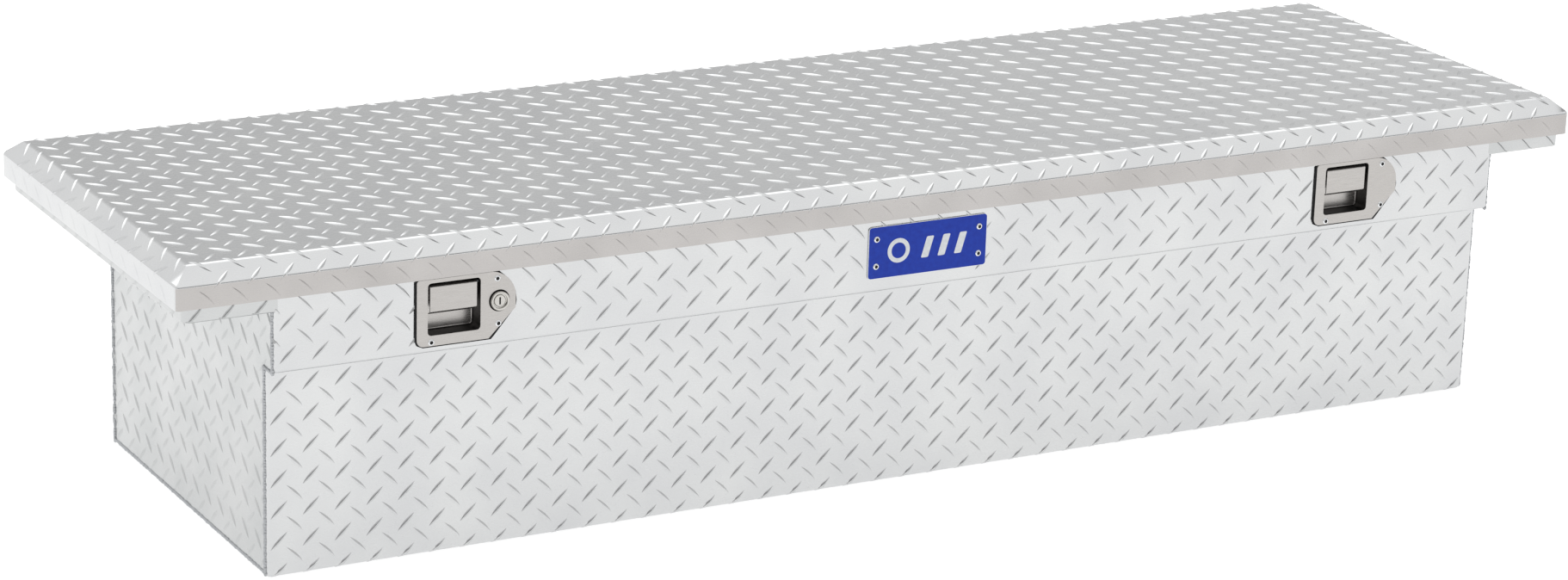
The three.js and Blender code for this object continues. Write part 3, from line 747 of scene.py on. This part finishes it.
def bend_tub(s, t, h):
    place, normal = tub_section.at(np.clip(t, 0.5 * MM, tub_section.length - 0.5 * MM))
    on_wall = np.abs(normal[:, 0]) > 0.999
    s = np.where(on_wall, s, np.clip(s, -TUB_END + UPRIGHT_BEND, TUB_END - UPRIGHT_BEND))
    limit = flat_reach(UPRIGHT_BEND)
    x, back, angle = round_the_end(np.clip(s, -limit, limit), TUB_END, UPRIGHT_BEND)
    facing_y = normal[:, 0] * np.cos(angle)
    y = place[:, 0] - np.sign(normal[:, 0]) * back * on_wall + h * facing_y
    return np.stack([x + h * np.sign(s) * np.sin(angle), y, place[:, 1] + h * normal[:, 1]], -1)


def inside_tub(s, t):
    limit = flat_reach(UPRIGHT_BEND)
    return (np.abs(s) < limit) & (t > 2 * MM) & (t < tub_section.length - 2 * MM)


tub_lugs = lay_lugs(
    "tub_lugs", (-TUB_END, TUB_END), (0, tub_section.length), bend_tub, inside_tub, TUB_PITCH, TUB_START
)
tub_tread = smooth(joined("tub_tread", [make_tub(), tub_lugs]))
dress(tub_tread, "box", tread_plate, "tread_plate", "tub_wrap")

# %% [markdown]
# Each end plate starts as a plane between the tub's bends. Its top edge is drawn up to the saddle
# wing, and the two upper side edges are drawn out to make the flags that close the aprons.

# %% End plates
apron_low, apron_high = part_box("front_apron")
_, rear_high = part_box("rear_apron")
APRON_BEND = 4.5 * MM
flag_front, flag_back = apron_low.y + APRON_BEND, rear_high.y - APRON_BEND
plate_front, plate_back = tub_low.y + UPRIGHT_BEND, tub_high.y - UPRIGHT_BEND


def make_end_plate(name, x):
    sign = math.copysign(1, x)
    middle = ((plate_front + plate_back) / 2, (FLOOR_BEND + apron_low.z) / 2)
    bpy.ops.mesh.primitive_plane_add(size=1, location=(x, *middle), rotation=(0, sign * math.pi / 2, 0))
    bpy.context.object.scale = (apron_low.z - FLOOR_BEND, plate_back - plate_front, 1)
    plate = named(name)
    edit(plate)
    pick(plate, "EDGE", at(2, apron_low.z))
    draw_out(0, 0, end_high.z - apron_low.z)
    upper = lambda edge: edge.verts[0].co.z + edge.verts[1].co.z > 2 * apron_low.z + 1 * MM
    for edge_y, flag_y in ((plate_front, flag_front), (plate_back, flag_back)):
        pick(plate, "EDGE", lambda e: at(1, edge_y)(e) and upper(e))
        draw_out(0, flag_y - edge_y, 0)
    leave()
    outward(plate)
    if plate.data.polygons[0].normal.x * sign < 0:
        edit(plate)
        bpy.ops.mesh.select_all(action="SELECT")
        bpy.ops.mesh.flip_normals()
        leave()
    return wall(plate)


def make_end(side, sign):
    x = sign * TUB_END
    plate = make_end_plate(f"{side}_end_tread", x)

    def side_edges(t):
        low = t < apron_low.z
        return np.where(low, plate_front, flag_front), np.where(low, plate_back, flag_back)

    def onto_end(s, t, h):
        front, back = side_edges(t)
        y = np.clip(s, front + 0.3 * MM, back - 0.3 * MM)
        return np.stack([x + sign * h, y, np.clip(t, FLOOR_BEND, end_high.z - 0.5 * MM)], -1)

    def inside_end(s, t):
        front, back = side_edges(t)
        return (s > front) & (s < back) & (t > FLOOR_BEND) & (t < end_high.z)

    lugs = lay_lugs(f"{side}_end_lugs", (flag_front, flag_back), (0, end_high.z), onto_end, inside_end)
    if sign < 0:
        outward(lugs)
    whole = smooth(joined(f"{side}_end_tread", [plate, lugs]))
    # The end's darker copy of the tread plate is painted shade.
    dress(whole, "box", end_plate, "tread_plate", f"{side}_end_plate")


make_end("left", -1)
make_end("right", 1)

# %% [markdown]
# The front apron steps out 22 mm from the tub. It is bent from one sheet: a ledge underneath, the face
# that carries the latches and the badge, and a rim flange on top. It starts as a block that keeps only
# those three sides, with its upright ends rounded. The rear apron is made the same way, facing back.

# %% Aprons
rim_z = apron_high.z
RIM_FLANGE = 18 * MM
LEDGE_REACH = 4 * MM
FOLD = 4 * MM
APRON_PITCH, APRON_START = (35.95, 35.3), (1.5, 4.7)


def make_apron(name, face_y, tub_y):
    """face_y is the apron's outer face and tub_y the tub wall under it."""
    out = math.copysign(1, face_y)
    flange_y = face_y - out * RIM_FLANGE
    low = (-TUB_END, min(face_y, flange_y), apron_low.z)
    apron = block(name, low, (TUB_END, max(face_y, flange_y), rim_z))
    edit(apron)
    drop_faces(apron, facing(1, -out))
    round_edges(apron, APRON_BEND, 5, runs_along(2, at(1, face_y)))
    round_edges(apron, FOLD, 3, lambda e: at(2, apron_low.z)(e) and at(1, face_y, APRON_BEND * 1.1)(e))
    for sign in (1, -1):
        drop_faces(apron, facing(0, sign))
    pick(apron, "EDGE", lambda e: at(2, apron_low.z)(e) and at(1, flange_y)(e))
    shift = tub_y - out * LEDGE_REACH - flange_y
    bpy.ops.transform.translate(value=(0, shift, 0))
    leave()
    return wall(apron)


def apron_tread(name, face_y, tub_y, holes):
    out = math.copysign(1, face_y)

    def onto_apron(s, t, h):
        limit = flat_reach(APRON_BEND)
        x, back, angle = round_the_end(np.clip(s, -limit, limit), TUB_END, APRON_BEND)
        y = face_y - out * back + out * h * np.cos(angle)
        z = np.clip(t, apron_low.z + FOLD * 0.6, rim_z - 3 * MM)
        return np.stack([x + h * np.sign(s) * np.sin(angle), y, z], -1)

    def inside_apron(s, t):
        clear = np.ones(s.shape, bool)
        for low, high in holes:
            clear &= ~((s > low[0]) & (s < high[0]) & (t > low[1]) & (t < high[1]))
        limit = TUB_END + APRON_BEND * 0.5
        return (np.abs(s) < limit) & (t > apron_low.z + FOLD) & (t < rim_z - 6 * MM) & clear

    lugs = lay_lugs(
        name + "_lugs",
        (-TUB_END, TUB_END),
        (apron_low.z, rim_z),
        onto_apron,
        inside_apron,
        APRON_PITCH,
        APRON_START,
    )
    outward(lugs)
    skin = make_apron(name, face_y, tub_y)
    return skin, lugs


def flat_area(node, margin):
    """A piece's outline on the front face, as two corners across and up, grown by a margin."""
    low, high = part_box(node)
    return (low.x - margin, low.z - margin), (high.x + margin, high.z + margin)


covered = [flat_area(node, -3 * MM) for node in ("left_latch_face", "right_latch_face", "badge")]
front_skin, front_lugs = apron_tread("front_apron_tread", apron_low.y, tub_low.y, covered)

CUP_HOLE_BOTTOM, CUP_HOLE_TOP, CUP_HOLE_MARGIN = 251 * MM, 310.4 * MM, 4 * MM
for side in ("left", "right"):
    paddle_low, paddle_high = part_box(f"{side}_paddle")
    cup_low = (paddle_low.x - CUP_HOLE_MARGIN, apron_low.y - THROUGH, CUP_HOLE_BOTTOM)
    cup_high = (paddle_high.x + CUP_HOLE_MARGIN, apron_low.y + THROUGH, CUP_HOLE_TOP)
    carve(front_skin, block("cup_hole", cup_low, cup_high))
front_apron_tread = smooth(joined("front_apron_tread", [front_skin, front_lugs]))
dress(front_apron_tread, "box", tread_plate, "tread_plate", "front_apron")

rear_skin, rear_lugs = apron_tread("rear_apron_tread", rear_high.y, tub_high.y, [])
rear_apron_tread = smooth(joined("rear_apron_tread", [rear_skin, rear_lugs]))
dress(rear_apron_tread, "box", tread_plate, "tread_plate", "rear_apron")

# %% [markdown]
# The saddle wings sit on the truck's bed rails. Each is a shallow tray that is open towards the box:
# a block with its inner side and the middle of its top removed.

# %% Saddle wings
WING_BEND = 7 * MM
SOLE_MARGIN = 4 * MM


def make_wing(side, sign):
    low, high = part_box(f"{side}_saddle_wing")
    outer, inner = (high.x if sign > 0 else low.x), sign * (TUB_END - APRON_BEND)
    near, far = sorted((inner, outer))
    wing = block(f"{side}_wing_tread", (near, low.y, low.z), (far, high.y, high.z))
    edit(wing)
    drop_faces(wing, facing(0, -sign))
    round_edges(wing, WING_BEND, 5, runs_along(2, at(0, outer)))
    round_edges(wing, FOLD * 0.7, 3, lambda e: at(2, low.z)(e) and not e.is_boundary)
    drop_faces(wing, facing(2))
    pick(wing, "EDGE", at(2, high.z))
    bpy.ops.mesh.extrude_region_move()
    length, half_depth = abs(outer - inner), (high.y - low.y) / 2
    shrink = ((length - RIM_FLANGE) / length, (half_depth - RIM_FLANGE) / half_depth, 1)
    bpy.ops.transform.resize(value=shrink, center_override=(inner, (high.y + low.y) / 2, high.z))
    leave()
    outward(wing)
    wall(wing)

    reach = outer - sign * WING_BEND
    straight_y = (low.y + WING_BEND, high.y - WING_BEND)
    arc = WING_BEND * math.pi / 2
    corners = [abs(reach - inner), abs(reach - inner) + arc]
    corners += [corners[1] + straight_y[1] - straight_y[0]]
    corners += [corners[2] + arc, corners[2] + arc + abs(reach - inner)]

    def around(s, t, h):
        """Follows the wing's rim: along the front, round the corner, down the end, and back."""
        s = np.clip(s, 1 * MM, corners[4] - 1 * MM)
        first = np.clip((s - corners[0]) / WING_BEND, 0, math.pi / 2)
        second = np.clip((s - corners[2]) / WING_BEND, 0, math.pi / 2)
        heading = first + second
        x = inner + sign * np.minimum(s, corners[0])
        x += sign * WING_BEND * (np.sin(first) - 1 + np.cos(second))
        x -= sign * np.maximum(s - corners[3], 0)
        y = low.y + WING_BEND * (1 - np.cos(first)) + np.clip(s - corners[1], 0, corners[2] - corners[1])
        y += WING_BEND * np.sin(second)
        z = np.clip(t, low.z + 2 * MM, high.z - 2 * MM)
        return np.stack([x + h * sign * np.sin(heading), y - h * np.cos(heading), z], -1)

    lugs = lay_lugs(
        f"{side}_wing_lugs", (0, corners[4]), (low.z, high.z), around,
        lambda s, t: (s > 0) & (s < corners[4]) & (t > low.z - 3 * MM) & (t < high.z - 8 * MM),
    )
    if sign < 0:
        outward(lugs)

    def under(s, t, h):
        x = inner + sign * np.clip(s, 2 * MM, abs(outer - inner) - SOLE_MARGIN)
        return np.stack([x, np.clip(t, low.y + SOLE_MARGIN, high.y - SOLE_MARGIN), low.z - h], -1)

    def inside_sole(s, t):
        along = (s > 3 * MM) & (s < abs(outer - inner) - SOLE_MARGIN)
        return along & (t > low.y + SOLE_MARGIN) & (t < high.y - SOLE_MARGIN)

    sole = lay_lugs(f"{side}_sole_lugs", (0, abs(outer - inner)), (low.y, high.y), under, inside_sole)
    outward(sole)
    whole = smooth(joined(f"{side}_wing_tread", [wing, lugs, sole]))
    # The wing's darker copy of the tread plate is painted shade.
    dress(whole, "box", end_plate, "tread_plate", f"{side}_saddle_wing")


make_wing("left", -1)
make_wing("right", 1)

# %% [markdown]
# Each latch is a stainless plate with a pressed cup and a flat paddle. The plate starts as a rectangle
# whose corners are cut by different amounts, most at the lock end, then it is thickened, the cup's
# opening is cut, and every edge is rounded a little, as a deburred edge is. The cup is a block that
# loses its front. Its walls are coloured dark as painted shade, and its floor stays brushed stainless.

# %% Latch plates, cups and paddles
STEEL = 1.2 * MM
CUP_HALF_WIDTH, CUP_HALF_HEIGHT, CUP_CORNER = 30 * MM, 28.5 * MM, 4 * MM
FACE_ABOVE_CENTRE = 32.9 * MM
LOCK_WELL = 11.8 * MM
PADDLE_LIP, PADDLE_TOP, PADDLE_SHEET = 278.5 * MM, 304 * MM, 1.6 * MM
lock_low, lock_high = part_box("lock_housing")
lock_x, lock_z = (lock_low.x + lock_high.x) / 2, (lock_low.z + lock_high.z) / 2


def rounded_block(name, low, high, radius):
    """A block whose four edges from front to back are rounded."""
    piece = block(name, low, high)
    edit(piece)
    round_edges(piece, radius, 5, runs_along(1))
    leave()
    return piece


def trim_corner(plate, x, z, width, segments, profile=0.5):
    edit(plate)
    round_edges(plate, width, segments, runs_along(1, at(0, x), at(2, z)), profile)
    leave()


def make_latch(side):
    low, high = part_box(f"{side}_latch_face")
    paddle_low, paddle_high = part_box(f"{side}_paddle")
    front, x, z = low.y, (paddle_low.x + paddle_high.x) / 2, high.z - FACE_ABOVE_CENTRE
    plate = block(f"{side}_latch_plate", low, (high.x, front + STEEL, high.z))
    trim_corner(plate, high.x, high.z, 27 * MM, 8, 0.45)
    trim_corner(plate, high.x, low.z, 31 * MM, 1)
    trim_corner(plate, low.x, low.z, 8 * MM, 5)
    trim_corner(plate, low.x, high.z, 3 * MM, 3)
    inner_low = Vector((x - CUP_HALF_WIDTH, front - THROUGH, z - CUP_HALF_HEIGHT))
    inner_high = Vector((x + CUP_HALF_WIDTH, front + THROUGH, z + CUP_HALF_HEIGHT))
    carve(plate, rounded_block("opening", inner_low, inner_high, CUP_CORNER))
    if side == "left":
        well = [(LOCK_WELL, front - THROUGH), (LOCK_WELL, front + THROUGH)]
        carve(plate, turned("lock_well", lock_x, lock_z, well, sides=40))
    soften(plate, 0.35 * MM, 2)
    dress(smooth(plate, 40), "box", brushed_stainless, "stainless", f"{side}_latch_face")

    grow = Vector((STEEL, 0, STEEL))
    cup_low, cup_high = inner_low - grow, inner_high + grow
    cup_low.y, cup_high.y = front + 0.2 * MM, high.y
    cup = rounded_block(f"{side}_latch_cup", cup_low, cup_high, CUP_CORNER + STEEL)
    edit(cup)
    round_edges(cup, 3 * MM, 3, at(1, high.y))
    drop_faces(cup, facing(1, -1))
    leave()
    dress(smooth(wall(cup, STEEL), 50), "box", brushed_stainless, "stainless", f"{side}_latch_face")
    # The cup's walls get the dark colour, which is painted shade; its floor keeps the brushed finish.
    refinish(cup, cup_painted_shade, lambda face: abs(face.normal.y) < 0.8)

    paddle = block(
        f"{side}_paddle_plate",
        (paddle_low.x, paddle_low.y, PADDLE_LIP),
        (paddle_high.x, paddle_low.y + PADDLE_SHEET, PADDLE_TOP),
    )
    edit(paddle)
    for step in ((0, 0.8 * MM, -2.2 * MM), (0, 4.5 * MM, -2.6 * MM)):  # turns the lower lip in
        lowest = PADDLE_LIP + 0.5 * MM
        pick(paddle, "FACE", lambda f: f.calc_center_median().z < lowest and f.normal.z < -0.5)
        draw_out(*step)
    pick(paddle, "FACE", facing(2))
    draw_out(0, 3 * MM, 2.2 * MM)
    leave()
    soften(paddle, 0.4 * MM, 2)
    dress(smooth(paddle, 40), f"{side}_paddle", brushed_stainless, "stainless", f"{side}_paddle")


make_latch("left")
make_latch("right")

# %% [markdown]
# The lock sits beside the left cup, in a round hole in the latch plate: a turned bezel that stands out
# from the plate, a shallow step down to the plug, and a keyway cut in the plug's face.

# %% Lock
_, plug_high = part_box("lock_plug")
seat = lock_low.y + 1.0 * MM
bezel = turned(
    "lock_bezel",
    lock_x,
    lock_z,
    [
        (9.5 * MM, lock_high.y), (9.5 * MM, seat + 0.1 * MM),
        (10.6 * MM, seat), (10.6 * MM, seat - 2.6 * MM),
        (10.0 * MM, seat - 3.4 * MM), (8.6 * MM, seat - 3.5 * MM), (8.1 * MM, seat - 3.1 * MM),
        (7.9 * MM, seat - 0.9 * MM), (6.8 * MM, seat - 0.8 * MM), (6.8 * MM, lock_high.y),
    ],
    sides=40,
    hollow=True,
)
dress(smooth(bezel, 40), "box", nickel_plate, "stainless", "lock_housing")

plug_face = seat - 1.7 * MM
plug = turned(
    "lock_barrel",
    lock_x,
    lock_z,
    [
        (6.5 * MM, plug_high.y), (6.5 * MM, plug_face + 0.5 * MM),
        (6.0 * MM, plug_face), (0.05 * MM, plug_face),
    ],
    sides=40,
)
keyway = block(
    "keyway",
    (lock_x - 0.9 * MM, plug_face - 1 * MM, lock_z - 4 * MM),
    (lock_x + 0.9 * MM, seat + 3 * MM, lock_z + 4 * MM),
)
carve(plug, keyway)
dress(smooth(plug, 40), "lock", nickel_plate, "brass", "lock_plug")

# %% [markdown]
# The latches and the badge are held by blind rivets. A blind rivet's head is a low dome with a hole in
# its middle; the end of its steel pin sits in the hole, coloured nearly black as painted shade.

# %% Rivets
def make_rivet(node):
    low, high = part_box(node)
    x, z, seat = (low.x + high.x) / 2, (low.z + high.z) / 2, low.y + 0.9 * MM
    head = turned(
        node + "_head",
        x,
        z,
        [
            (1.8 * MM, high.y), (1.8 * MM, seat), (3.6 * MM, seat), (3.5 * MM, seat - 0.35 * MM),
            (3.0 * MM, seat - 0.8 * MM), (2.4 * MM, seat - 1.0 * MM),
            (2.0 * MM, seat - 0.9 * MM), (1.9 * MM, seat - 0.2 * MM),
        ],
        sides=20,
    )
    dress(smooth(head, 45), "box", bright_aluminium, "zinc_steel", node)
    return turned("pin_end", x, z, [(2.0 * MM, seat - 0.1 * MM), (2.0 * MM, seat - 0.75 * MM)], sides=12)


for owner in ("left_latch", "right_latch", "badge"):
    nodes = sorted(node for node in frame["nodes"] if node.startswith(owner + "_rivet"))
    pins = joined(owner + "_rivet_pins", [make_rivet(node) for node in nodes])
    # The pin ends carry the painted shade of the rivets' holes.
    dress(pins, "box", rivet_hole_painted_shade, "zinc_steel")

# %% [markdown]
# The badge is a small aluminium plate with blue enamel up to a thin bare border. Its device is a plain
# ring and three leaning bars in white enamel, which stand for no maker.

# %% Badge
badge_low, badge_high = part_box("badge")
badge_x, badge_z = (badge_low.x + badge_high.x) / 2, (badge_low.z + badge_high.z) / 2
plate_face = badge_low.y + 0.25 * MM
badge_plate = rounded_block("badge_plate", (badge_low.x, plate_face, badge_low.z), badge_high, 4 * MM)
soften(badge_plate, 0.2 * MM, 2)
dress(smooth(badge_plate, 40), "box", bright_aluminium, "sheet_aluminium", "badge")

border = Vector((0.5 * MM, 0, 0.5 * MM))
enamel_low, enamel_high = Vector(badge_low) + border, Vector(badge_high) - border
enamel_low.y, enamel_high.y = badge_low.y + 0.1 * MM, plate_face + 0.1 * MM
badge_enamel = rounded_block("badge_enamel", enamel_low, enamel_high, 3.5 * MM)
dress(smooth(badge_enamel, 40), "box", blue_enamel, "blue_enamel", "badge")

RING_OUTER, RING_INNER = 14 * MM, 9 * MM
BAR_HALF_WIDTH, BAR_HALF_HEIGHT, BAR_LEAN = 4.5 * MM, 12 * MM, 7 * MM
device = []
device_front, device_back = badge_low.y, badge_low.y + 0.2 * MM
ring_x = badge_x - 37 * MM
ring_steps = [
    (RING_OUTER, device_back), (RING_OUTER, device_front),
    (RING_INNER, device_front), (RING_INNER, device_back),
]
device.append(turned("badge_device", ring_x, badge_z, ring_steps, sides=48, hollow=True))
for k in range(3):
    x = badge_x + (-4 + 21 * k) * MM
    low = (x - BAR_HALF_WIDTH, device_front, badge_z - BAR_HALF_HEIGHT)
    high = (x + BAR_HALF_WIDTH, device_back, badge_z + BAR_HALF_HEIGHT)
    bar = block("badge_bar", low, high)
    edit(bar)
    pick(bar, "FACE", facing(2))
    bpy.ops.transform.translate(value=(BAR_LEAN, 0, 0))
    round_edges(bar, 1.5 * MM, 3, lambda edge: abs(edge.verts[0].co.y - edge.verts[1].co.y) > 0.1 * MM)
    leave()
    device.append(bar)
dress(smooth(joined("badge_device", device), 40), "box", white_enamel, "sheet_aluminium")

# %% [markdown]
# The end plates are welded in. A hand-laid bead is a row of overlapping ripples, so one ripple is
# modelled as a squashed ball and copied along each seam, with small seeded differences in size.

# %% Weld beads
RIPPLE = 3.2 * MM
bpy.ops.mesh.primitive_uv_sphere_add(segments=8, ring_count=5, radius=1)
ripple_points, ripple_faces = taken(named("weld_ripple"))
weld_noise = np.random.default_rng(7)


def bead(name, x, seams):
    """Ripples along straight seams on the end at x. A seam is its two ends, as y and z, and its bead's
    half sizes."""
    points = []
    for start, end, width in seams:
        start, end = np.array((x, *start)), np.array((x, *end))
        length = np.linalg.norm(end - start)
        along = (end - start) / length
        sizes = np.abs(along) * (RIPPLE * 0.9) + (1 - np.abs(along)) * width
        for k in range(int(length / RIPPLE) + 1):
            size = sizes * weld_noise.uniform(0.85, 1.2)
            drift = (1 - np.abs(along)) * weld_noise.uniform(-0.25, 0.25, 3) * MM
            points.append(ripple_points * size + start + along * min(k * RIPPLE, length) + drift)
    laid = copies(name, np.concatenate(points), ripple_faces, len(ripple_points))
    return dress(smooth(laid, 60), "box", weld_bead, "tread_plate")


BEAD = np.array([2.0, 2.4, 2.4]) * MM
THIN_BEAD = BEAD * 0.8
under_wing, under_top = end_high.z - 0.5 * MM, end_high.z - 2 * MM
end_seams = [
    ((plate_front, 4 * MM), (plate_front, apron_low.z), BEAD),
    ((plate_back, 4 * MM), (plate_back, apron_low.z), BEAD),
    ((flag_front, apron_low.z), (flag_front, under_wing), BEAD),
    ((flag_back, apron_low.z), (flag_back, under_wing), BEAD),
    ((plate_front, FLOOR_BEND), (plate_back, FLOOR_BEND), THIN_BEAD),
    ((flag_front, apron_low.z), (plate_front, apron_low.z), THIN_BEAD),
    ((plate_back, apron_low.z), (flag_back, apron_low.z), THIN_BEAD),
    ((flag_front, under_top), (flag_back, under_top), THIN_BEAD),
]
bead("left_end_weld", -TUB_END, end_seams)
bead("right_end_weld", TUB_END, end_seams)

# %% [markdown]
# Every working piece that already has the right shape keeps it and only gets its finish.

# %% Finishes of the working pieces
finishes = {
    "sheet_aluminium": mill_sheet,
    "stainless": brushed_stainless,
    "zinc_steel": zinc_plate,
    "black_rubber": foam_rubber,
    "black_paint": black_paint,
    "foam": rigid_foam,
    "blue_enamel": blue_enamel,
    "brass": brass_key,
    "tread_plate": tread_plate,
}
for part in frame["record"]["subparts"]:
    node = frame["nodes"][part["node"]]
    node.data.materials.clear()
    node.data.materials.append(finishes[part["material_slot"]])
